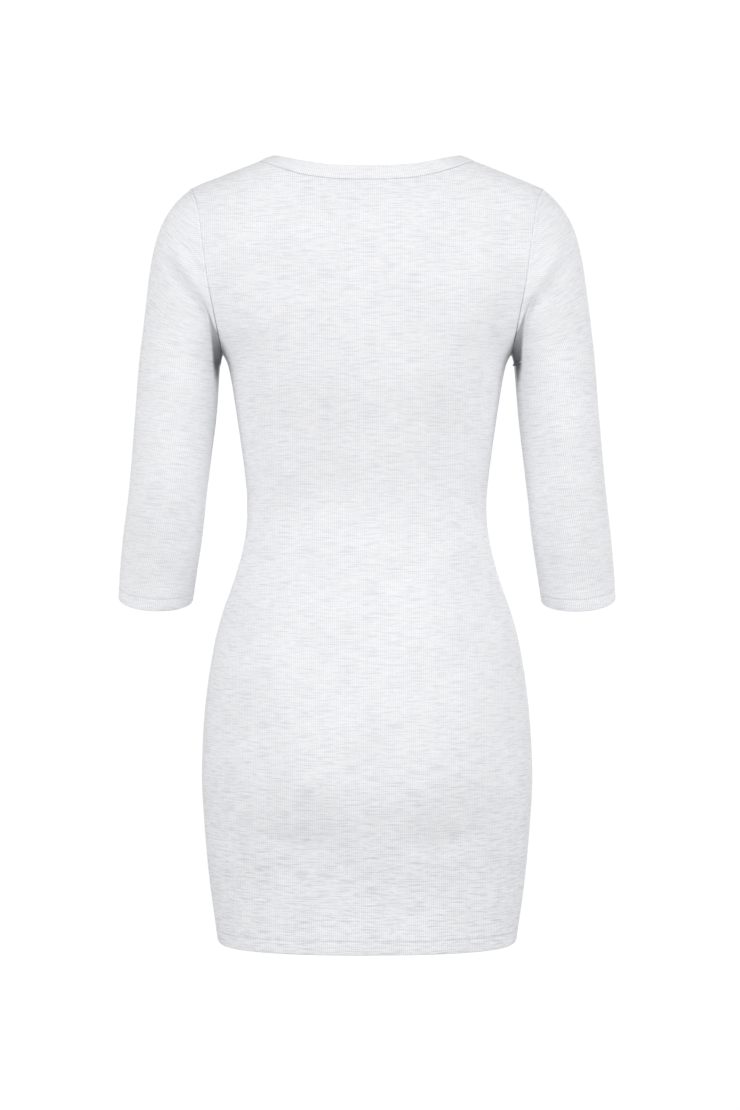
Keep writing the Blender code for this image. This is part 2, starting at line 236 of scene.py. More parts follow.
HEAD_BLEND = 3
HEAD_RINGS = 8
UNDERARM_CROWDING = 0.55
LAST_RING = len(RINGS) - 1
CUFF_RING = RINGS[-1].outer_drop - RINGS[-2].outer_drop
CUFF_LINE = LAST_RING - CUFF_DEPTH / CUFF_RING

# Creases, troughs where the depth is above 0 and ridges where it is below. A crease starts, bends and
# ends at (round, drop): on the trunk, round is the distance from the panel's centre line along the cloth,
# and on a sleeve it is the distance from the body's centre. Its depth eases away at both ends.
CREASE = "start bend end width depth"
BACK_CREASES = table(
    CREASE,
    ((150, 236), (120, 262), (86, 268), 9, 0.9),
    ((-152, 232), (-118, 252), (-92, 276), 8, 0.8),
    ((158, 352), (118, 362), (78, 356), 8, 0.8),
    ((160, 392), (112, 384), (60, 398), 9, 0.9),
    ((-160, 344), (-120, 356), (-88, 352), 7, 0.7),
    ((-162, 386), (-108, 380), (-50, 392), 9, 0.9),
    ((-40, 372), (4, 380), (52, 372), 8, 0.4),
    ((206, 716), (150, 706), (112, 712), 10, 0.9),
    ((-206, 722), (-158, 708), (-120, 710), 9, 0.9),
    ((118, 700), (74, 722), (26, 706), 14, 2.6),
    ((-122, 698), (-78, 724), (-28, 708), 14, 2.6),
)
FRONT_CREASES = table(
    CREASE,
    ((-186, 372), (-120, 330), (-40, 262), 8, 1.6),
    ((-184, 384), (-110, 362), (-16, 318), 9, 1.9),
    ((-186, 396), (-110, 392), (-8, 366), 8, 1.4),
    ((-190, 410), (-118, 424), (-40, 428), 9, 1.3),
    ((-190, 428), (-140, 458), (-84, 480), 10, 1.2),
    ((182, 330), (130, 342), (66, 334), 8, 1.0),
    ((184, 376), (120, 388), (40, 380), 9, 1.1),
    ((150, 232), (128, 248), (104, 250), 8, 1.0),
    ((196, 560), (120, 540), (30, 548), 12, 0.9),
    ((-200, 590), (-130, 566), (-60, 574), 12, 0.9),
)
SLEEVE_BACK_CREASES = table(
    CREASE,
    ((211, 108), (185, 146), (163, 176), 5, 4.0),
    ((178, 148), (165, 166), (159, 204), 3.2, 3.6),
    ((204, 98), (181, 128), (161, 160), 7, -3.6),
    ((185, 372), (206, 382), (226, 374), 9, 0.9),
    ((180, 396), (200, 408), (226, 402), 9, 1.0),
    ((186, 424), (208, 434), (232, 424), 9, 0.9),
    ((240, 352), (224, 366), (208, 364), 8, 0.7),
)
SLEEVE_FRONT_CREASES = table(
    CREASE,
    ((196, 112), (174, 142), (160, 176), 8, 3.4),
    ((172, 158), (160, 182), (157.5, 212), 6, 5.5),
    ((182, 360), (206, 368), (234, 356), 8, 1.5),
    ((184, 378), (210, 390), (240, 380), 8, 2.0),
    ((188, 400), (212, 412), (240, 406), 9, 1.5),
    ((190, 426), (214, 434), (236, 424), 9, 1.1),
)
CREASE_POINTS = 48
CREASE_REACH = 3
CREASE_TIP = 0.02
CREASE_TAPER = 0.7

# The soft unevenness of worn cloth: waves with their sizes and their lengths round and down the cloth.
WAVES = table(
    "size round down start",
    (0.30, 61, 83, 0.0),
    (0.24, -47, 71, 1.9),
    (0.18, 36, 33, 4.1),
    (0.10, -23, 29, 2.7),
)
SLEEVE_RIPPLE_PITCH = 1.3

# The distances from a seam over which creases and ripples set in
TRUNK_CALM = 12
SLEEVE_CREASE_CALM = 4
SLEEVE_RIPPLE_CALM = 9

# The cleft under the arm, where the cloth closes on itself: at each drop shade is painted between a near
# edge and a far one, by their distances from the body's centre. The painted shade is soft on its far, lit
# side.
CLEFT_PAINTED_SHADE = table(
    "drop near far soft dark",
    (140, 172, 174.5, 4, 0),
    (152, 169, 171.5, 3.5, 0.1),
    (160, 166, 168, 2.8, 0.2),
    (166, 163.8, 165.6, 2, 0.35),
    (173, 161.2, 163.3, 1.5, 0.55),
    (181, 158.4, 162, 1.5, 0.5),
    (188, 154.5, 161.2, 1.5, 0.5),
    (196, 140, 161, 1.5, 0.6),
    (218, 130, 160.8, 1.6, 0.85),
    (230, 130, 159.4, 2, 0.7),
    (240, 130, 157.8, 2.4, 0.4),
    (256, 130, 155, 3, 0),
)

CLEFT_NEAR_SOFT = 0.9
CLEFT_FRONT = 0.55
CLEFT_FACING = 5
CLEFT_FACING_SOFT = 8

# How much light is painted on the trunk's cloth beside the sleeve, and on the sleeve towards the cuffs,
# and where
UNDERARM_PAINTED_LIGHT = 0.2
UNDERARM_PAINTED_LIGHT_DROP = 236
UNDERARM_PAINTED_LIGHT_TALL = 26
UNDERARM_PAINTED_LIGHT_WIDE = 0.2
CUFF_PAINTED_LIGHT = 0.06
CUFF_PAINTED_LIGHT_DROP = 430
CUFF_PAINTED_LIGHT_TALL = 40

# The seams' relief: how far an edge rolls in and over what distance, the lip on the sleeve's side and the
# highlight painted on it, and the groove that a line of stitches draws and the shade painted in it, with
# the distances from it at which rows lie
ROLL = 0.2
ROLL_REACH = 0.6
LIP = 0.7
LIP_PLACE = 1.7
LIP_REACH = 1.1
LIP_PAINTED_HIGHLIGHT = 0.06
GROOVE = 0.35
GROOVE_REACH = 0.8
GROOVE_PAINTED_SHADE = 0.1
LINE_ROWS = (0.5, 1, 1.7, 2.8)

# The sleeves' stations: rings close together at the head, and columns closest along the underarm
HEAD_STATIONS = (0, 0.05, 0.1, 0.16, 0.24, 0.34, 0.46, 0.6, 0.8)
HEAD_STEP = 0.2
ARM_STATIONS = 54
SLEEVE_COLUMNS = 141

# The trunk's pieces and the sleeves, each with its ripple's start and its shift on the knit's pattern
BACK, OVER, UNDER = table(
    "node front creases ripple shift mirrored",
    ("back", False, BACK_CREASES, 0.4, 0, False),
    ("front_over", True, FRONT_CREASES, 2.2, 700, False),
    ("front_under", True, FRONT_CREASES, 2.2, 1500, True),
)
ARMS = table("side mirrored ripple shift", ("left", False, 1.1, 3100), ("right", True, 3.7, 4300))
BAND_SHIFT = (300, 2400)

# How far aslant the sleeve's knit hangs at the head, how much of that goes lower down, and where
SLANT = 0.9
SLANT_LOSS = 0.8
SLANT_DROP = 100
SLANT_TALL = 130
SLANT_MIDDLE = 200

# The stitches: their pitch and size, how deep they lie, and how the hem's and cuffs' lines wander
STITCH_PITCH = 3.2
STITCH_LONG = 2.3
STITCH_THICK = 0.42
STITCH_DEEP = 0.25
STITCH_SAMPLES = 240
HEM_SWAYS = table("size turns", (0.5, 9), (0.3, 23))
CUFF_SWAYS = table("size turns", (0.5, 4))

# The knit's yarns and pattern. Streaks are so many to a metre along and across the cloth, and each fades
# in between two levels of its noise. A rib is a cord with a furrow beside it.
RIB_PITCH = 2.1 * MM
RIB_WANDER = 0.004
RIB_WANDERS = 9.0
OFF_WHITE = (0.85, 0.856, 0.874, 1)
MELANGE_GREY = (0.5, 0.515, 0.565, 1)
PALE_YARN = (0.93, 0.93, 0.94, 1)
THREAD_DARK = (0.56, 0.57, 0.61, 1)
THREAD_PALE = (0.8, 0.81, 0.84, 1)
THREAD_TWIST = 1400.0
Streaks = namedtuple("Streaks", "along across detail seed low high strength")
LONG_STREAKS = Streaks(44, 800, 1.6, 3.7, 0.44, 0.76, 1.0)
SHORT_STREAKS = Streaks(110, 1150, 1.0, 11.3, 0.5, 0.78, 0.8)
PALE_STREAKS = Streaks(95, 640, 1.0, 23.1, 0.55, 0.8, 0.45)
SOFT_PATCHES = Streaks(16, 22, 2.0, 41.9, 0.3, 0.7, 0.03)
FUZZ = Streaks(420, 900, 1.0, 57.3, 0, 1, 0.5)
DARKEST_PATCH = 0.98
# How much shade is painted in the ribs' furrows, and how much light on their cords
FURROW_PAINTED_SHADE = 0.9
CORD_PAINTED_LIGHT = 1.02
RIB_BREAK = 0.7
# How strongly the light and shade painted on each vertex darken or brighten the knit
PAINTED_SHADING_STRENGTH = 0.97

# How grey the streaks are towards the hem and towards the neck, and the heights where that changes
GREY_FROM = -0.56
GREY_TO = -0.76
BODY_GREYS = (0.64, 0.42)
BAND_GREYS = (0.3, 0.3)

# The setting, in metres
CAMERA_PLACE = (-0.00318, 3.0, -0.345)
CAMERA_DIP = math.radians(1.42)
CAMERA_LENS = 92.27
CAMERA_SENSOR = 36
FLOOR_RADIUS = 14
FLOOR_HEIGHT = -1.4
FLOOR_GREY = (0.54, 0.54, 0.54, 1)
WHITE = (1, 1, 1, 1)
SEEN_WHITE = 1.02
ROOM_COLOUR = (0.99, 0.99, 0.993, 1)
ROOM_LIGHT = 0.6
LAMP_COLOUR = (1.0, 0.995, 0.99)
DRESS_MIDDLE = (0, 0, -0.4)
LAMPS = table(
    "name place size power",
    ("back_left_light", (2.8, 2, 0.6), 2, 46),
    ("near_left_light", (1.5, 3, 0.3), 1.5, 6),
    ("back_right_light", (-2.8, 2, 0.6), 2, 46),
    ("near_right_light", (-1.5, 3, 0.3), 1.5, 6),
    ("low_back_light", (0, 3, -0.95), 2, 8),
    ("front_light", (-0.8, -3.2, 0.6), 2, 50),
)


# Tables ------------------------------------------------------


def smooth(places, values, at):
    """Values at some places, on a smooth curve through a table's rows."""
    places, values = np.array(places, float), np.array(values, float)
    at = np.clip(at, places[0], places[-1])
    low = np.clip(np.searchsorted(places, at, side="right") - 1, 0, len(places) - 2)
    row = np.arange(len(places))
    before = np.maximum(row - 1, 0)
    after = np.minimum(row + 1, len(places) - 1)
    slopes = (values[after] - values[before]) / (places[after] - places[before])
    span = places[low + 1] - places[low]
    t = (at - places[low]) / span
    curve = (2 * t - 3) * t * t
    rise = t * (1 - t) ** 2 * span * slopes[low] - t * t * (1 - t) * span * slopes[low + 1]
    return (1 + curve) * values[low] - curve * values[low + 1] + rise


def read(table, name, drop):
    return smooth([row.drop for row in table], [getattr(row, name) for row in table], drop)


def ease(t):
    t = np.clip(t, 0, 1)
    return t * t * (3 - 2 * t)


def bell(distance, reach):
    return np.exp(-((distance / reach) ** 2))


def unit(vectors):
    return vectors / np.linalg.norm(vectors, axis=-1, keepdims=True)


# The trunk's form --------------------------------------------


def section(drop, front):
    """Half width, depth, side line and squareness of the back or front half of the sections."""
    side = read(DEPTHS, "side", drop)
    square = read(DEPTHS, "square", drop)
    depth = np.where(front, side - read(DEPTHS, "front", drop), read(DEPTHS, "back", drop) - side)
    half = read(OUTLINE, "half", drop) + np.where(front, read(OUTLINE, "front_more", drop), 0)
    return half, depth, side, square


def trunk(angle, drop):
    """Points of the trunk: angle 0 is the centre back, a right angle the left side."""
    angle, drop = np.broadcast_arrays(np.asarray(angle, float), np.asarray(drop, float))
    front = np.cos(angle) < 0
    half, depth, side, square = section(drop, front)
    out, along = np.sin(angle), np.abs(np.cos(angle))
    size = (np.abs(out) ** square + along**square) ** (1 / square)
    across = half * out / size
    away = depth * along / size
    for mound in FULLNESS:
        tall = np.where(drop < mound.drop, mound.above, mound.below)
        fall = np.exp(-(((drop - mound.drop) / tall) ** 2) / 2)
        pair = sum(np.exp(-(((across - x) / mound.wide) ** 2) / 2) for x in (-mound.across, mound.across))
        away = away + (front == mound.front) * mound.depth * fall * pair * ease(along / size * 2)
    return np.stack((across, np.where(front, side - away, side + away), -drop), axis=-1)


def outward(angle, drop):
    round_it = trunk(angle + HAIR, drop) - trunk(angle - HAIR, drop)
    up_it = trunk(angle, drop - DROP_STEP) - trunk(angle, drop + DROP_STEP)
    return unit(np.cross(up_it, round_it))


def angle_of(across, drop, front):
    """The angle at which the trunk's section at this drop is so far from the centre."""
    half, _, _, square = section(drop, front)
    share = np.minimum(np.abs(across) / half, 1)
    angle = np.arctan2(share, (1 - share**square) ** (1 / square))
    return np.copysign(np.where(front, math.pi - angle, angle), across)


def armhole_place(turn):
    """The armhole's seam: turn 0 is the underarm, a quarter turn the back, a half turn the shoulder."""
    turn = np.asarray(turn, float)
    front = np.sin(turn) < 0
    drop = UNDERARM_DROP + (SHOULDER_DROP - UNDERARM_DROP) * (1 - np.cos(turn)) / 2
    scoop = np.where(front, ARMHOLE_SCOOP * np.sin(turn) ** 2, 0)
    return angle_of(read(ARMHOLE, "across", drop) - scoop, drop, front), drop


def back_neck_drop(across):
    share = np.minimum(np.abs(across) / NECK_SEAM_HALF, 1)
    return NECK_CENTRE_DROP - (NECK_CENTRE_DROP - NECK_SEAM_DROP) * share**NECK_ROUND


def neck_drop(angle):
    """Where the neckband's seam crosses these angles of the trunk, found by halving."""
    angle = np.asarray(angle, float)
    front = np.cos(angle) < 0
    high, low = np.full(angle.shape, float(NECK_TOP)), np.full(angle.shape, float(WRAP_V_DROP))
    for _ in range(HALVINGS):
        middle = (high + low) / 2
        across = np.abs(trunk(angle, middle)[..., 0])
        above_wrap = across < read(NECK_SLOPE, "across", middle)
        above = np.where(front, above_wrap, middle < back_neck_drop(across))
        high, low = np.where(above, middle, high), np.where(above, low, middle)
    return (high + low) / 2


def wrap_angle(drop):
    """Where the over front's edge crosses these drops."""
    slope = 2 * math.pi - angle_of(read(NECK_SLOPE, "across", drop), drop, True)
    return np.where(drop < WRAP_V_DROP, slope, math.pi - np.radians(read(WRAP_EDGE, "turn", drop)))


NECK_POINT_DROP = float(neck_drop(SHOULDER_SEAM_TURN))


def shoulder_seam(drop):
    share = (SHOULDER_DROP - drop) / (SHOULDER_DROP - NECK_POINT_DROP)
    return math.pi / 2 + (SHOULDER_SEAM_TURN - math.pi / 2) * share


def half_gap(angle, drop):
    """Half of the seam's gap, as an angle."""
    step = np.linalg.norm(trunk(angle + HAIR, drop) - trunk(angle - HAIR, drop), axis=-1)
    return SEAM_GAP / 2 / step * 2 * HAIR


def side_angle(drop, front):
    """The left edge of the back, or of the front, at these drops."""
    turned = 1 if front else -1
    side = math.pi / 2 + turned * half_gap(math.pi / 2, drop)
    seam = shoulder_seam(drop)
    shoulder = seam + turned * half_gap(seam, drop)
    turn = np.arccos(np.clip(1 - 2 * (UNDERARM_DROP - drop) / (UNDERARM_DROP - SHOULDER_DROP), -1, 1))
    arm = armhole_place(-turn if front else turn)[0]
    return np.where(drop >= UNDERARM_DROP, side, np.where(drop < SHOULDER_DROP, shoulder, arm))


# How far round the cloth each place of the trunk is from the centre back, as a chart to look up.
CHART_ANGLES = np.linspace(0, math.pi, 181)
CHART_DROPS = np.linspace(-20, 840, 173)
chart_points = trunk(CHART_ANGLES[None, :], CHART_DROPS[:, None])
chart_steps = np.linalg.norm(np.diff(chart_points, axis=1), axis=-1)
CHART = np.concatenate((np.zeros((len(CHART_DROPS), 1)), np.cumsum(chart_steps, axis=1)), axis=1)


def round_cloth(angle, drop, front):
    """Distance round the cloth from the centre back, or from the centre front, signed by the side."""
    turned = np.abs((angle + math.pi) % (2 * math.pi) - math.pi)
    row = np.clip((drop - CHART_DROPS[0]) / (CHART_DROPS[1] - CHART_DROPS[0]), 0, len(CHART_DROPS) - 1.001)
    column = np.clip(turned / CHART_ANGLES[1], 0, len(CHART_ANGLES) - 1.001)
    i, j = row.astype(int), column.astype(int)
    s, t = row - i, column - j
    upper = CHART[i, j] * (1 - t) + CHART[i, j + 1] * t
    lower = CHART[i + 1, j] * (1 - t) + CHART[i + 1, j + 1] * t
    distance = upper * (1 - s) + lower * s
    if front:
        distance = (CHART[i, -1] * (1 - s) + CHART[i + 1, -1] * s) - distance
    return distance * np.sign(np.sin(angle))


# Stations ----------------------------------------------------


def stations(length, far=True, coarse=COARSE):
    """Places from 0 to 1 along a length, close together at the ends that are seams."""
    start = [d for d in FINE if d < length / 2]
    end = [length - d for d in reversed(start)] if far else [length]
    gaps = max(int((end[0] - start[-1]) / coarse), 1)
    middle = np.linspace(start[-1], end[0], gaps + 1)[1:-1]
    return np.concatenate((start, middle, end)) / length


def turned_hem(drop, depth):
    """Rows of a turned hem, as (drop, inset): round the fold and up inside."""
    radius = HEM_WALL / 2
    round_fold = [math.pi * i / FOLD_STEPS for i in range(FOLD_STEPS + 1)]
    rows = [(drop - radius * (1 - math.sin(a)), radius * (1 - math.cos(a))) for a in round_fold]
    rows += [(drop - d, HEM_WALL) for d in np.linspace(radius, depth, FOLD_ROWS + 1)[1:]]
    return np.array(rows)


# Creases -----------------------------------------------------


def creased(creases, across, drop):
    """How far in the cloth lies at each place, for some creases."""
    inset = np.zeros(across.shape)
    t = np.linspace(0, 1, CREASE_POINTS)
    for crease in creases:
        start, bend, end = (np.array(p, float) for p in (crease.start, crease.bend, crease.end))
        line = (1 - t)[:, None] ** 2 * start + (2 * t * (1 - t))[:, None] * bend + (t**2)[:, None] * end
        low = line.min(axis=0) - CREASE_REACH * crease.width
        high = line.max(axis=0) + CREASE_REACH * crease.width
        near = (across > low[0]) & (across < high[0]) & (drop > low[1]) & (drop < high[1])
        places = np.stack((across[near], drop[near]), axis=-1)
        far = np.linalg.norm(places[:, None, :] - line[None], axis=-1)
        nearest = far.argmin(axis=1)
        taper = np.sin(math.pi * np.clip(t[nearest], CREASE_TIP, 1 - CREASE_TIP)) ** CREASE_TAPER
        inset[near] += crease.depth * taper * bell(far.min(axis=1), crease.width)
    return inset


def ripple(across, drop, start):
    """How far in worn cloth lies for its soft unevenness."""
    return sum(w.size * np.sin(across / w.round + drop / w.down + start + w.start) for w in WAVES)


# Cloth meshes ------------------------------------------------


def underarm_painted_light(angle, drop):
    """How much light is painted on the trunk beside the sleeve, to stand for the light of a bright room
    coming through.
    """
    by_drop = bell(drop - UNDERARM_PAINTED_LIGHT_DROP, UNDERARM_PAINTED_LIGHT_TALL)
    return UNDERARM_PAINTED_LIGHT * bell(np.cos(angle), UNDERARM_PAINTED_LIGHT_WIDE) * by_drop


def flipped(mirrored):
    return np.array((-1 if mirrored else 1, 1, 1))


def placed(name, data):
    """An object of this name in the scene."""
    thing = bpy.data.objects.new(name, data)
    bpy.context.scene.collection.objects.link(thing)
    return thing


def meshed(name, bm, material):
    """An object made from a finished bmesh."""
    mesh = bpy.data.meshes.new(name)
    bm.to_mesh(mesh)
    bm.free()
    mesh.materials.append(material)
    return placed(name, mesh)


def cloth_piece(
    node, material, points, knit, painted_light_and_shade, out, ply=PLY, tube=False, mirrored=False
):
    """A thin shell from a lattice of points in millimetres, with its knit map and the light and shade
    painted on its vertices.

    out says which way the lattice faces, and a tube's first and last columns are joined.
    """
    rows, columns = points.shape[:2]
    bm = bmesh.new()
    knit_map = bm.loops.layers.uv.new("knit")
    # Each vertex holds the light and shade painted on it: above 0 it darkens the knit, below 0 it
    # brightens it.
    shade = bm.verts.layers.float.new("painted_light_and_shade")
    bmesh.ops.create_grid(bm, x_segments=columns - 1, y_segments=rows - 1, size=1)
    flip = flipped(mirrored)
    places = {}
    for vert in bm.verts:
        i = round((vert.co.y + 1) / 2 * (rows - 1))
        j = round((vert.co.x + 1) / 2 * (columns - 1))
        places[vert] = (i, j)
        vert.co = points[i, j] * flip * MM
        vert[shade] = painted_light_and_shade[i, j]
    for face in bm.faces:
        for loop in face.loops:
            i, j = places[loop.vert]
            loop[knit_map].uv = knit[i, j] * MM
    bm.normal_update()
    i, j = rows // 2, columns // 2
    middle = next(vert for vert, place in places.items() if place == (i, j))
    if middle.normal.dot(Vector(out[i, j] * flip)) < 0:
        bmesh.ops.reverse_faces(bm, faces=bm.faces)
    if tube:
        edges = [vert for vert, place in places.items() if place[1] in (0, columns - 1)]
        bmesh.ops.remove_doubles(bm, verts=edges, dist=1e-6)
    piece = meshed(node + "_knit", bm, material)
    piece.data.shade_smooth()
    wall = piece.modifiers.new("ply", "SOLIDIFY")
    wall.thickness = ply * MM
    wall.offset = -1
    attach(piece, "root")
    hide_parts(node)
    return piece


def lengths(points, axis):
    """Distances along the rows or the columns of a lattice."""
    step = np.linalg.norm(np.diff(points, axis=axis), axis=-1)
    start = np.zeros_like(step[:1] if axis == 0 else step[:, :1])
    return np.concatenate((start, np.cumsum(step, axis=axis)), axis=axis)


def from_seams(points):
    """How far each place of a lattice is from its side edges and its top row."""
    along, down = lengths(points, 1), lengths(points, 0)
    return np.minimum(np.minimum(along, along[:, -1:] - along), down)


def near_line(places, line):
    """Places along a length, with closer ones beside the line of stitches."""
    apart = places[np.abs(places - line) > LINE_ROWS[-1] + 1]
    beside = [line + side * distance for distance in LINE_ROWS for side in (-1, 1)]
    return np.sort(np.concatenate((apart, beside, [line])))


def skirt_rows():
    """Rows as (drop, inset) from below the underarm down to the hem and round its fold."""
    fold = turned_hem(HEM_DROP, HEM_DEPTH)
    length = fold[0, 0] - UNDERARM_DROP
    drops = near_line(np.linspace(UNDERARM_DROP, fold[0, 0], int(length / COARSE) + 1), HEM_LINE)[1:]
    return np.concatenate((np.stack((drops, np.zeros(len(drops))), axis=-1), fold[1:]))


def hem_lift(angle, drop):
    """How far the side seams hold the hem up, at its corners."""
    near_hem = ease((drop - HEM_LIFT_START) / (HEM_DROP - HEM_LIFT_START))
    return HEM_LIFT * bell(np.cos(angle), HEM_LIFT_REACH) * near_hem


def lattice(yoke_angle, yoke_drop, angle, rows):
    """Angles, drops and insets of a piece: the yoke, and below it rows of (drop, inset)."""
    drop, inset = (np.broadcast_to(column[:, None], angle.shape) for column in rows.T)
    insets = np.concatenate((np.zeros(yoke_drop.shape), inset))
    return np.concatenate((yoke_angle, angle)), np.concatenate((yoke_drop, drop)), insets


def neck_rise(share):
    """How far the neck's seam has risen from the centre back, at a share of the way to the neck point."""
    angle = share * side_angle(NECK_POINT_DROP, False)
    return (NECK_CENTRE_DROP - neck_drop(angle)) / (NECK_CENTRE_DROP - NECK_POINT_DROP)


def trunk_piece(panel, material, angle, drop, inset, painted_glow=0):
    """A piece of the trunk from a lattice of angles and drops, and how far in each place lies."""
    edge = from_seams(trunk(angle, drop))
    groove = bell(drop - HEM_LINE, GROOVE_REACH) * (inset == 0)
    drop = drop - hem_lift(angle, drop)
    out = outward(angle, drop)
    across = round_cloth(angle, drop, panel.front)
    worn = creased(panel.creases, across, drop) + ripple(across, drop, panel.ripple)
    inset = inset + GROOVE * groove + worn * ease(edge / TRUNK_CALM) + ROLL * bell(edge, ROLL_REACH)
    points = trunk(angle, drop) - out * inset[..., None]
    pattern = np.stack((across, drop), axis=-1) + panel.shift
    # Shade is painted into the hem's stitch groove, and on the back light is painted beside the sleeve.
    painted_light_and_shade = GROOVE_PAINTED_SHADE * groove - painted_glow
    return cloth_piece(panel.node, material, points, pattern, painted_light_and_shade, out, mirrored=panel.mirrored)


def knit_back(knit):
    """The back, row by row: the shoulder seams, the armholes, then the side seams and the turned hem."""
    columns = 2 * stations(2 * HALF_PANEL) - 1
    share = stations(UNDERARM_DROP - NECK_CENTRE_DROP, far=False, coarse=BACK_YOKE_COARSE)
    centre_drop = NECK_CENTRE_DROP + (UNDERARM_DROP - NECK_CENTRE_DROP) * share
    turn = math.pi * (1 - (share - SHOULDER_SHARE) / (1 - SHOULDER_SHARE))
    slope = NECK_POINT_DROP + (SHOULDER_DROP - NECK_POINT_DROP) * share / SHOULDER_SHARE
    on_arm = share > SHOULDER_SHARE
    arm_angle, arm_drop = armhole_place(np.minimum(turn, math.pi))
    edge_drop = np.where(on_arm, arm_drop, slope)
    edge = side_angle(np.minimum(slope, SHOULDER_DROP - HAIR), False)
    edge = np.where(on_arm, arm_angle, edge)
    widest = np.maximum(edge, math.pi / 2)
    yoke_angle = edge[:, None] * columns[None, :]
    lift = (centre_drop - edge_drop) / neck_rise(edge / widest)
    yoke_drop = centre_drop[:, None] - lift[:, None] * neck_rise(np.abs(yoke_angle) / widest[:, None])
    skirt = skirt_rows()
    skirt_angle = side_angle(skirt[:, 0], False)[:, None] * columns[None, :]
    angle, drop, inset = lattice(yoke_angle, yoke_drop, skirt_angle, skirt)
    return trunk_piece(BACK, knit, angle, drop, inset, underarm_painted_light(angle, drop))


def under_sink(angle, drop):
    """How far the under front lies beneath the over front. It comes up beyond the over front's band, and
    sooner beside the side seam."""
    across = round_cloth(angle, drop, True)
    edge = np.where(drop < WRAP_LANDS, -round_cloth(wrap_angle(drop), drop, True), -2 * HALF_PANEL)
    from_side = across + round_cloth(side_angle(drop, True), drop, True)
    fade = SIDE_FADE + (UNDER_FADE - SIDE_FADE) * ease(from_side / SIDE_FADE_REACH)
    return UNDER_SINK * ease((UNDER_COVER + fade + across - edge) / fade)


def front_lattice(rows):
    """Angles and drops of a front, laid out as the over front: the yoke, the wrap and what is below it."""
    columns = stations(2 * HALF_PANEL)
    near_length = math.pi * (UNDERARM_DROP - SHOULDER_DROP) / 2
    share = stations(near_length, far=False, coarse=FRONT_YOKE_COARSE)
    turn = math.pi * (1 - share)
    near_drop = armhole_place(turn)[1]
    reach = (UNDERARM_DROP - NECK_POINT_DROP) / (UNDERARM_DROP - SHOULDER_DROP)
    far_drop = NECK_POINT_DROP + (near_drop - SHOULDER_DROP) * reach
    near = 2 * math.pi - armhole_place(-turn)[0]
    yoke_angle = near[:, None] + (wrap_angle(far_drop) - near)[:, None] * columns[None, :]
    yoke_drop = near_drop[:, None] + (far_drop - near_drop)[:, None] * columns[None, :]
    # The top row lies along the shoulder seam, and the others leave its gap little by little.
    seam = shoulder_seam(yoke_drop[0])
    yoke_angle[0] = 2 * math.pi - seam
    yoke_angle = yoke_angle - half_gap(seam, yoke_drop[0]) * (1 - share)[:, None]
    drops = rows[:, 0]
    far = np.where(drops >= WRAP_LANDS, side_angle(drops, True), wrap_angle(drops))
    near = 2 * math.pi - side_angle(drops, True)
    return lattice(yoke_angle, yoke_drop, near[:, None] + (far - near)[:, None] * columns[None, :], rows)


def knit_front_under(knit):
    """The under front, laid out as the over front and mirrored. It ends below where the wrap lands."""
    count = int((UNDER_ENDS - UNDERARM_DROP) / COARSE)
    drops = np.linspace(UNDERARM_DROP, UNDER_ENDS, count + 1)
    angle, drop, inset = front_lattice(np.stack((drops, np.zeros(count + 1)), axis=-1)[1:])
    return trunk_piece(UNDER, knit, angle, drop, inset + under_sink(angle, drop))


# The neckband ------------------------------------------------


def walk(angle, drop, direction, distance):
    """The places reached by going a distance over the trunk in a direction."""
    for _ in range(STRIDES):
        by_angle = (trunk(angle + HAIR, drop) - trunk(angle - HAIR, drop)) / (2 * HAIR)
        by_drop = (trunk(angle, drop + DROP_STEP) - trunk(angle, drop - DROP_STEP)) / (2 * DROP_STEP)
        a, b, c = (by_angle**2).sum(-1), (by_angle * by_drop).sum(-1), (by_drop**2).sum(-1)
        p, q = (by_angle * direction).sum(-1), (by_drop * direction).sum(-1)
        scale = distance / STRIDES / (a * c - b * b)
        angle = angle + (p * c - q * b) * scale
        drop = drop + (q * a - p * b) * scale
    return angle, drop


def band_seam():
    """The seam from the left side, up the over front, round the neck and down the under front."""
    wrap_drop = np.linspace(WRAP_LANDS, NECK_POINT_DROP, WRAP_COLUMNS)
    wrap_turn = wrap_angle(wrap_drop)
    wrap_turn[0] = side_angle(float(WRAP_LANDS), True)
    neck_edge = float(side_angle(NECK_POINT_DROP, False))
    neck_turn = np.linspace(-neck_edge, neck_edge, NECK_COLUMNS + 2)[1:-1]
    angle = np.concatenate((wrap_turn, neck_turn + 2 * math.pi, 4 * math.pi - wrap_turn[::-1]))
    drop = np.concatenate((wrap_drop, neck_drop(neck_turn), wrap_drop[::-1]))
    under = np.arange(len(angle)) >= len(wrap_drop) + len(neck_turn)
    return angle, drop, under


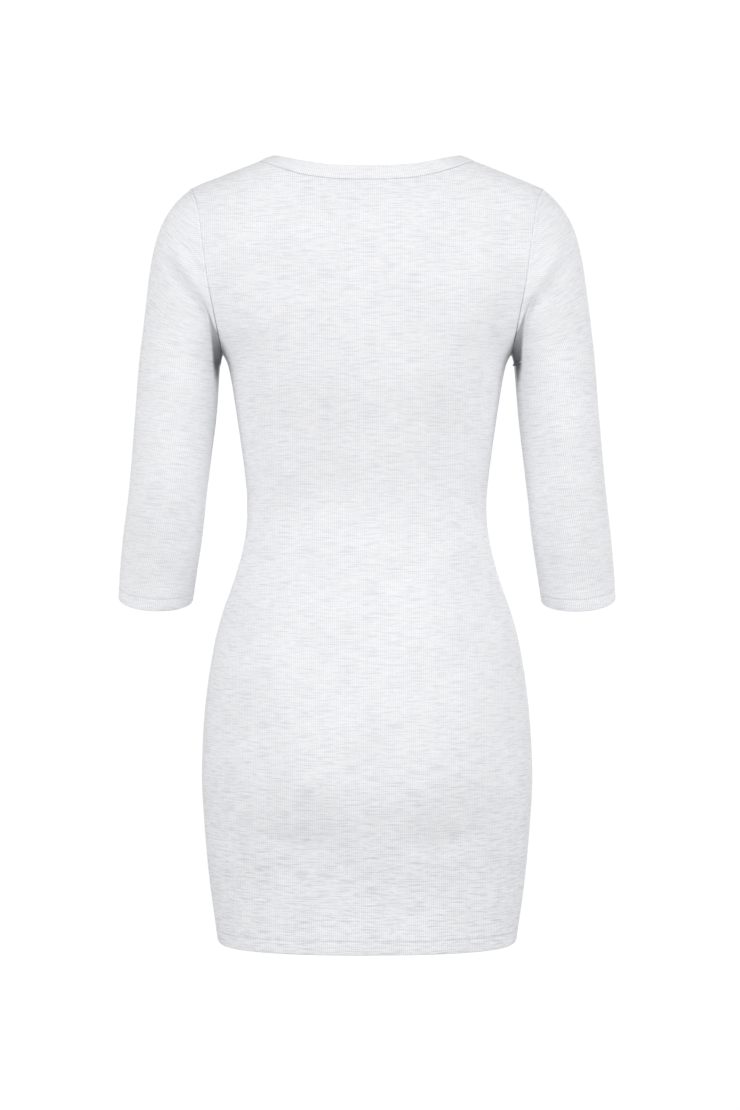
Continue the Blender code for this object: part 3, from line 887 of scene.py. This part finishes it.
def knit_neckband(knit):
    """A strip folded double: the outer ply from the seam to the fold, and the inner ply back down."""
    angle, drop, under = band_seam()
    seam = trunk(angle, drop)
    along = unit(np.gradient(seam, axis=0))
    square_on = unit(np.cross(along, outward(angle, drop)))
    up = unit(trunk(angle, drop - DROP_STEP) - trunk(angle, drop + DROP_STEP))
    from_end = np.minimum(WRAP_LANDS - drop, WRAP_LANDS - NECK_POINT_DROP)
    turned = read(BAND_TURNS, "share", from_end)[:, None]
    direction = unit(square_on * (1 - turned) + up * turned)
    reach = 1 / (direction * square_on).sum(-1)
    radius = BAND_WALL / 2
    last = BAND_WIDTH - radius
    flat = np.array(BAND_STATIONS + (last,))
    round_fold = np.linspace(0, math.pi, FOLD_STEPS + 1)[1:-1]
    profile = [(w, BAND_PUFF * math.sin(math.pi * w / last)) for w in flat]
    profile += [(last + radius * math.sin(a), radius * (math.cos(a) - 1)) for a in round_fold]
    profile += [(w, -BAND_WALL) for w in flat[::-1]]
    rows = []
    for i, (width, rise) in enumerate(profile):
        place = walk(angle, drop, direction, width * reach)
        normal = outward(*place)
        sink = np.where(under, under_sink(2 * math.pi - place[0], place[1]), 0)
        roll = ROLL * bell(width - BAND_START, ROLL_REACH) if i < len(flat) else 0
        height = BAND_PROUD + rise - sink - roll
        rows.append(trunk(*place) + normal * height[:, None])
    points = np.stack(rows, axis=1)
    # The knit map's rows run along the band, and its columns across it.
    run = lengths(seam[:, None], 0)
    width = lengths(points, 1)
    pattern = np.stack((np.broadcast_to(run, width.shape), width), axis=-1) + BAND_SHIFT
    # The middle row lies in the fold, where the band's outer side faces along its width.
    fold = np.broadcast_to(direction[:, None], points.shape)
    points, fold, pattern = (np.swapaxes(a, 0, 1) for a in (points, fold, pattern))
    # No light or shade is painted on the neckband.
    painted_light_and_shade = np.zeros(fold.shape[:2])
    return cloth_piece("neckband", knit, points, pattern, painted_light_and_shade, fold, BAND_PLY)


# Sleeves -----------------------------------------------------


def ring_point(at, turn):
    places = range(len(RINGS))
    values = Ring(*(smooth(places, [getattr(row, name) for row in RINGS], at) for name in Ring._fields))
    zero = np.zeros_like(values.outer_across)
    outer = np.stack((values.outer_across, zero, -values.outer_drop), axis=-1)
    inner = np.stack((values.inner_across, zero, -values.inner_drop), axis=-1)
    tip = np.radians(values.tip)
    depth = (values.back - values.front) / 2 * np.sin(turn)
    middle = (outer + inner) / 2 + np.stack((zero, (values.back + values.front) / 2, zero), axis=-1)
    lean = np.stack((zero, np.cos(tip), -np.sin(tip)), axis=-1)
    return middle - (outer - inner) / 2 * np.cos(turn)[..., None] + lean * depth[..., None]


def sleeve(at, turn):
    at, turn = np.broadcast_arrays(np.asarray(at, float), np.asarray(turn, float))
    seam = trunk(*armhole_place(turn)) + np.array((ARMHOLE_GAP, 0, 0))
    fade = np.maximum(1 - at / HEAD_BLEND, 0) ** 2
    return ring_point(at, turn) + (seam - ring_point(np.zeros(at.shape), turn)) * fade[..., None]


def sleeve_outward(at, turn):
    along = sleeve(np.minimum(at + HAIR, LAST_RING), turn) - sleeve(np.maximum(at - HAIR, 0), turn)
    round_it = sleeve(at, turn + HAIR) - sleeve(at, turn - HAIR)
    return unit(np.cross(round_it, along))


def knit_sleeve(arm, knit):
    """A sleeve: a tube from the armhole's seam down the head and the arm, and round the cuff's fold."""
    head = np.concatenate((HEAD_STATIONS, np.arange(1, HEAD_RINGS, HEAD_STEP)))
    fold = turned_hem(0, CUFF_DEPTH)
    even = np.linspace(HEAD_RINGS, LAST_RING, ARM_STATIONS)[:-1] * CUFF_RING
    below = near_line(even, CUFF_LINE * CUFF_RING) / CUFF_RING
    rings = np.concatenate((head, below, LAST_RING + fold[:, 0] / CUFF_RING))
    inset = np.concatenate((np.zeros(len(head) + len(below)), fold[:, 1]))
    # The columns lie closest together along the underarm, where the creases are.
    whole = np.linspace(0, 1, SLEEVE_COLUMNS)
    turn = 2 * math.pi * whole - UNDERARM_CROWDING * np.sin(2 * math.pi * whole)
    at, turn = np.broadcast_arrays(rings[:, None], turn[None, :])
    form, out = sleeve(at, turn), sleeve_outward(at, turn)
    edge = lengths(form, 0)
    across, drop = form[..., 0], -form[..., 2]
    backward = ease(np.sin(turn) * 4)
    forward = ease(-np.sin(turn) * 4)
    folds = creased(SLEEVE_BACK_CREASES, across, drop) * backward
    folds = folds + creased(SLEEVE_FRONT_CREASES, across, drop) * forward
    girth = lengths(form, 1)
    ripples = ripple(girth * SLEEVE_RIPPLE_PITCH, drop, arm.ripple)
    inset = inset[:, None] + folds * ease(edge / SLEEVE_CREASE_CALM)
    inset = inset + ripples * ease(edge / SLEEVE_RIPPLE_CALM)
    inset = inset + ROLL * bell(edge, ROLL_REACH) - LIP * bell(edge - LIP_PLACE, LIP_REACH)
    outside = (np.arange(len(rings)) < len(rings) - len(fold))[:, None]
    groove = bell((at - CUFF_LINE) * CUFF_RING, GROOVE_REACH) * outside
    inset = inset + GROOVE * groove
    points = form - out * inset[..., None]
    slant = SLANT - SLANT_LOSS * ease((drop - SLANT_DROP) / SLANT_TALL)
    pattern = np.stack((girth, drop + slant * (across - SLANT_MIDDLE)), axis=-1) + arm.shift
    # The cleft's painted shade spares the side that faces the body, so that it stays pale and throws light
    # back, and it is painted less dark on the front.
    cleft_paint_reach = ease((np.abs(form[..., 1]) - CLEFT_FACING) / CLEFT_FACING_SOFT)
    cleft_paint_reach = cleft_paint_reach * np.where(form[..., 1] > 0, 1, CLEFT_FRONT)
    # Shade is painted into the cuff's stitch groove and into the underarm's cleft.
    painted_light_and_shade = np.maximum(GROOVE_PAINTED_SHADE * groove, armpit_painted_shade(across, drop) * cleft_paint_reach)
    # A highlight is painted on the lip beside the armhole seam.
    painted_light_and_shade = painted_light_and_shade - LIP_PAINTED_HIGHLIGHT * bell(edge - LIP_PLACE, LIP_REACH)
    # Light is painted on the sleeve towards the cuff.
    painted_light_and_shade = painted_light_and_shade - CUFF_PAINTED_LIGHT * ease((drop - CUFF_PAINTED_LIGHT_DROP) / CUFF_PAINTED_LIGHT_TALL)
    node = "sleeve_" + arm.side
    return cloth_piece(node, knit, points, pattern, painted_light_and_shade, out, tube=True, mirrored=arm.mirrored)


def armpit_painted_shade(across, drop):
    """How much shade is painted into the cleft where the underarm's cloth closes on itself."""
    near, far = read(CLEFT_PAINTED_SHADE, "near", drop), read(CLEFT_PAINTED_SHADE, "far", drop)
    soft = read(CLEFT_PAINTED_SHADE, "soft", drop)
    within = 1 - ease((across - far + soft) / (2 * soft))
    beyond = ease((across - near + CLEFT_NEAR_SOFT) / (2 * CLEFT_NEAR_SOFT))
    return read(CLEFT_PAINTED_SHADE, "dark", drop) * within * beyond


# Stitches ----------------------------------------------------


def on_line(values, run, at):
    """Values along a line at one distance along it, as a vector."""
    return Vector([np.interp(at, run, values[:, c]) for c in range(3)])


def swayed(sways, angle):
    return sum(sway.size * np.sin(angle * sway.turns) for sway in sways)


def stitch_row(name, points, out, thread):
    """Short threads that lie end to end along a line of points on the cloth."""
    run = lengths(points[:, None], 0)[:, 0]
    count = int(run[-1] / STITCH_PITCH)
    bm = bmesh.new()
    for k in range(count):
        at = (k + 0.5) * run[-1] / count
        start, end = on_line(points, run, at - 0.5), on_line(points, run, at + 0.5)
        along = (end - start).normalized()
        normal = on_line(out, run, at).normalized()
        side = normal.cross(along).normalized()
        turned = Matrix((along, side, normal)).transposed().to_4x4()
        size = Matrix.Diagonal(Vector((STITCH_LONG, STITCH_THICK, STITCH_THICK)) / 2 * MM).to_4x4()
        matrix = Matrix.Translation((start + end) / 2 * MM) @ turned @ size
        bmesh.ops.create_uvsphere(bm, u_segments=6, v_segments=4, radius=1, matrix=matrix)
    piece = meshed(name, bm, thread)
    piece.data.shade_smooth()
    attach(piece, "root")


def hem_stitches(thread):
    for name, panel in (("back", BACK), ("front", OVER)):
        edge = float(side_angle(float(HEM_LINE), panel.front))
        ends = (edge, 2 * math.pi - edge) if panel.front else (-edge, edge)
        angle = np.linspace(*ends, STITCH_SAMPLES)
        drop = HEM_LINE + swayed(HEM_SWAYS, angle)
        drop = drop - hem_lift(angle, drop)
        out = outward(angle, drop)
        inset = ripple(round_cloth(angle, drop, panel.front), drop, panel.ripple) + STITCH_DEEP
        points = trunk(angle, drop) - out * inset[:, None]
        stitch_row("hem_stitches_" + name, points, out, thread)


def cuff_stitches(arm, thread):
    turn = np.linspace(0, 2 * math.pi, STITCH_SAMPLES)
    at = CUFF_LINE + swayed(CUFF_SWAYS, turn) / CUFF_RING
    form, out = sleeve(at, turn), sleeve_outward(at, turn)
    girth = lengths(form[None], 1)[0]
    inset = ripple(girth * SLEEVE_RIPPLE_PITCH, -form[:, 2], arm.ripple) + STITCH_DEEP
    points = form - out * inset[:, None]
    flip = flipped(arm.mirrored)
    stitch_row("cuff_stitches_" + arm.side, points * flip, out * flip, thread)


# Materials ---------------------------------------------------


def nodes_of(name, roughness):
    material = bpy.data.materials.new(name)
    material.use_nodes = True
    tree = material.node_tree
    shader = tree.nodes["Principled BSDF"]
    shader.inputs["Roughness"].default_value = roughness
    shader.inputs["Metallic"].default_value = 0
    shader.inputs["Specular IOR Level"].default_value = 0.2
    return material, tree, shader


def put(tree, kind, inputs=(), **settings):
    """A node with its settings, and each input as a value or as another node's output."""
    node = tree.nodes.new(kind)
    for key, value in settings.items():
        setattr(node, key, value)
    for key, value in dict(inputs).items():
        if isinstance(value, bpy.types.NodeSocket):
            tree.links.new(value, node.inputs[key])
        else:
            node.inputs[key].default_value = value
    return node


def sums(tree, operation, *values):
    node = put(tree, "ShaderNodeMath", {i: value for i, value in enumerate(values)}, operation=operation)
    return node.outputs[0]


def between(tree, value, low, high, new_low=0.0, new_high=1.0):
    """A value led smoothly from one range to another."""
    limits = {"From Min": low, "From Max": high, "To Min": new_low, "To Max": new_high}
    node = put(tree, "ShaderNodeMapRange", {"Value": value, **limits}, interpolation_type="SMOOTHSTEP")
    return node.outputs[0]


def mixed(tree, factor, first, second):
    """A colour between two colours, each a value or an output."""
    return put(tree, "ShaderNodeMix", {0: factor, 6: first, 7: second}, data_type="RGBA").outputs[2]


def noise(tree, cloth, **look):
    """Flat noise over the cloth."""
    return put(tree, "ShaderNodeTexNoise", {"Vector": cloth, **look}, noise_dimensions="2D").outputs["Fac"]


def streak_noise(tree, cloth, streaks):
    """Noise drawn out along the knit's rows."""
    place = {"Location": (streaks.seed, streaks.seed, 0), "Scale": (streaks.along, streaks.across, 1)}
    drawn_out = put(tree, "ShaderNodeMapping", {"Vector": cloth, **place}).outputs[0]
    return noise(tree, drawn_out, Scale=1.0, Detail=streaks.detail, Roughness=0.55, Distortion=0.25)


def faded(tree, cloth, streaks):
    """Streaks that fade in between the two levels of their noise, as strong as their row says."""
    shape = between(tree, streak_noise(tree, cloth, streaks), streaks.low, streaks.high)
    return sums(tree, "MULTIPLY", shape, streaks.strength)


def ribs(tree, cloth):
    """Ribs that run down the cloth, from 0 in the furrows to 1 on the cords. They wander a little."""
    across = put(tree, "ShaderNodeSeparateXYZ", {0: cloth}).outputs["X"]
    swing = noise(tree, cloth, Scale=RIB_WANDERS, Detail=1.0)
    wander = sums(tree, "MULTIPLY", sums(tree, "SUBTRACT", swing, 0.5), RIB_WANDER)
    phase = sums(tree, "MULTIPLY", sums(tree, "ADD", across, wander), 2 * math.pi / RIB_PITCH)
    return between(tree, sums(tree, "SINE", phase), -1.0, 0.6)


def knit_material(name, greys):
    """Fine rib knit in off-white, with short grey melange streaks across the ribs, greyer near the hem."""
    material, tree, shader = nodes_of(name, 0.92)
    shader.inputs["Sheen Weight"].default_value = 0.06
    shader.inputs["Sheen Roughness"].default_value = 0.6
    cloth = put(tree, "ShaderNodeUVMap", uv_map="knit").outputs["UV"]
    place = put(tree, "ShaderNodeTexCoord").outputs["Object"]
    height = put(tree, "ShaderNodeSeparateXYZ", {0: place}).outputs["Z"]
    rib = ribs(tree, cloth)

    # The streaks are broken by the ribs' furrows.
    long_streaks, short_streaks = faded(tree, cloth, LONG_STREAKS), faded(tree, cloth, SHORT_STREAKS)
    streaks = sums(tree, "MAXIMUM", long_streaks, short_streaks)
    broken = sums(tree, "MULTIPLY", streaks, between(tree, rib, 0.0, 1.0, RIB_BREAK, 1.0))
    grey = between(tree, height, GREY_TO, GREY_FROM, *greys)
    melange = mixed(tree, sums(tree, "MULTIPLY", broken, grey), OFF_WHITE, MELANGE_GREY)
    yarn = mixed(tree, faded(tree, cloth, PALE_STREAKS), melange, PALE_YARN)

    # Soft patches of tone, the light and shade painted on each vertex, and the ribs' painted shade scale
    # the yarn.
    patches = sums(tree, "ADD", faded(tree, cloth, SOFT_PATCHES), DARKEST_PATCH)
    painted_light_and_shade = put(tree, "ShaderNodeAttribute", attribute_name="painted_light_and_shade").outputs["Fac"]
    painted_light_factor = sums(tree, "SUBTRACT", 1.0, sums(tree, "MULTIPLY", painted_light_and_shade, PAINTED_SHADING_STRENGTH))
    # Shade is painted in the ribs' furrows and a little light on their cords.
    furrows = between(tree, rib, 0.0, 1.0, FURROW_PAINTED_SHADE, CORD_PAINTED_LIGHT)
    light = sums(tree, "MULTIPLY", sums(tree, "MULTIPLY", patches, painted_light_factor), furrows)
    shaded = put(tree, "ShaderNodeVectorMath", {0: yarn, 3: light}, operation="SCALE")
    tree.links.new(shaded.outputs[0], shader.inputs["Base Color"])

    fuzz = sums(tree, "MULTIPLY", streak_noise(tree, cloth, FUZZ), FUZZ.strength)
    relief = sums(tree, "ADD", rib, fuzz)
    bump = put(tree, "ShaderNodeBump", {"Height": relief, "Strength": 0.5, "Distance": 0.25 * MM})
    tree.links.new(bump.outputs[0], shader.inputs["Normal"])
    return material


def thread_material():
    """Twisted sewing thread, a little greyer than the knit."""
    material, tree, shader = nodes_of("thread", 0.7)
    place = put(tree, "ShaderNodeTexCoord").outputs["Object"]
    twist = put(tree, "ShaderNodeTexNoise", {"Vector": place, "Scale": THREAD_TWIST, "Detail": 1.0})
    colour = mixed(tree, twist.outputs["Fac"], THREAD_DARK, THREAD_PALE)
    tree.links.new(colour, shader.inputs["Base Color"])
    return material


# Setting -----------------------------------------------------


def camera():
    data = bpy.data.cameras.new("camera")
    data.lens = CAMERA_LENS
    data.sensor_width = CAMERA_SENSOR
    data.clip_end = 60
    view = placed("camera", data)
    view.location = CAMERA_PLACE
    view.rotation_euler = (math.pi / 2 - CAMERA_DIP, 0, math.pi)
    bpy.context.scene.camera = view


def soft_lamp(lamp):
    """A large square lamp that faces the middle of the dress."""
    data = bpy.data.lights.new(lamp.name, "AREA")
    data.shape = "SQUARE"
    data.size = lamp.size
    data.energy = lamp.power
    data.color = LAMP_COLOUR
    light = placed(lamp.name, data)
    light.location = lamp.place
    way = Vector(DRESS_MIDDLE) - Vector(lamp.place)
    light.rotation_euler = way.to_track_quat("-Z", "Y").to_euler()


def seen_as_white(tree, kind, lit, output):
    """A surface that the camera sees as plain white, and that lights the dress as the shader lit does."""
    pale = put(tree, kind, {"Color": WHITE, "Strength": SEEN_WHITE})
    seen = put(tree, "ShaderNodeLightPath").outputs["Is Camera Ray"]
    mix = put(tree, "ShaderNodeMixShader", {0: seen, 1: lit.outputs[0], 2: pale.outputs[0]})
    tree.links.new(mix.outputs[0], tree.nodes[output].inputs["Surface"])


def floor():
    """A plain pale floor, which throws the light back up under the hem and the cuffs."""
    material, tree, shader = nodes_of("pale_floor", 0.9)
    shader.inputs["Base Color"].default_value = FLOOR_GREY
    seen_as_white(tree, "ShaderNodeEmission", shader, "Material Output")
    bm = bmesh.new()
    bmesh.ops.create_circle(bm, cap_ends=True, radius=FLOOR_RADIUS, segments=64)
    bmesh.ops.translate(bm, verts=bm.verts, vec=(0, 0, FLOOR_HEIGHT))
    meshed("floor", bm, material)


def studio():
    """Even pale light all round, and large soft lamps on both sides, at the back and at the front."""
    world = bpy.data.worlds.new("studio")
    bpy.context.scene.world = world
    world.use_nodes = True
    tree = world.node_tree
    room = tree.nodes["Background"]
    room.inputs["Color"].default_value = ROOM_COLOUR
    room.inputs["Strength"].default_value = ROOM_LIGHT
    seen_as_white(tree, "ShaderNodeBackground", room, "World Output")
    for lamp in LAMPS:
        soft_lamp(lamp)
    bpy.context.scene.view_settings.view_transform = "Standard"
    bpy.context.scene.view_settings.look = "None"


def main():
    camera()
    studio()
    floor()
    knit = knit_material("rib_knit", BODY_GREYS)
    band = knit_material("band_rib_knit", BAND_GREYS)
    thread = thread_material()
    back = knit_back(knit)
    over = trunk_piece(OVER, knit, *front_lattice(skirt_rows()))
    under = knit_front_under(knit)
    neckband = knit_neckband(band)
    sleeves = [knit_sleeve(arm, knit) for arm in ARMS]
    hem_stitches(thread)
    for arm in ARMS:
        cuff_stitches(arm, thread)


main()
